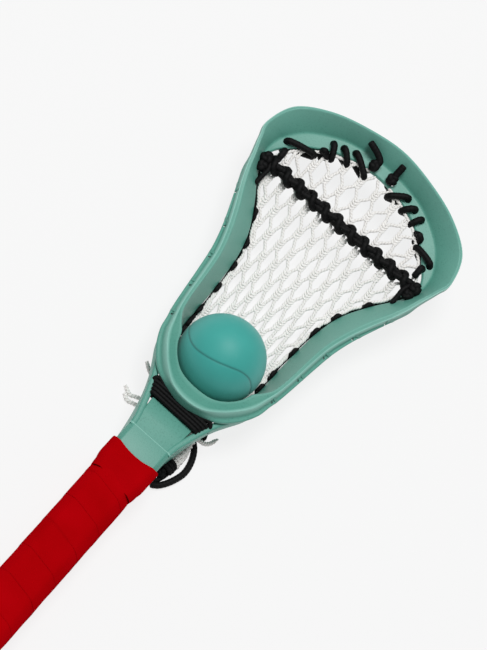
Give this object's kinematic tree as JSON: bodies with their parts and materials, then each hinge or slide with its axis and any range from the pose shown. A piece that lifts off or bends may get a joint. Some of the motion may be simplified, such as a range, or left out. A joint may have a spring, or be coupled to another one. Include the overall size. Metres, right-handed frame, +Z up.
{
  "type": "lacrosse stick",
  "caption": "Lacrosse stick with a moulded head, a laced soft mesh pocket, a taped shaft and a rubber ball lying in the pocket.",
  "frame": {"origin": "middle of the object's box, on the surface it lies on", "axes": "+Y along the stick from the butt cap to the scoop, +Z up out of the pocket, +X to the right looking towards the scoop"},
  "size_m": [0.1732, 1.04, 0.067],
  "materials": {
    "head_plastic": "moulded plastic with a fine grain, sea green",
    "shaft_metal": "satin anodised",
    "grip_cloth": "red woven cotton tape",
    "cap_rubber": "matte black rubber",
    "screw_steel": "zinc-plated steel",
    "mesh_cord": "knitted nylon cord, off white",
    "black_string": "braided nylon cord, black",
    "ball_rubber": "matte rubber, teal"
  },
  "bodies": {
    "stick": {"head_frame": "head_plastic", "shaft": "shaft_metal", "grip_tape": "grip_cloth", "butt_cap": "cap_rubber", "head_screw": "screw_steel", "mesh_pocket": "mesh_cord", "mesh_surplus": "mesh_cord", "top_string": "black_string", "sidewall_string_left": "black_string", "sidewall_string_right": "black_string", "shooting_string": "black_string", "shooting_knots": "black_string", "bottom_string": "black_string", "bottom_string_loop": "black_string", "bottom_string_stub": "black_string", "mesh_tail_upper": "mesh_cord", "mesh_tail_middle": "mesh_cord", "mesh_tail_lower": "mesh_cord", "mesh_tail_right": "mesh_cord"},
    "ball": {"ball": "ball_rubber"}
  },
  "joints": [
    {"name": "ball_lift", "type": "slide", "parent": "stick", "child": "ball", "axis": [0, 0, 1], "range_m": [0, 0.12]}
  ]
}
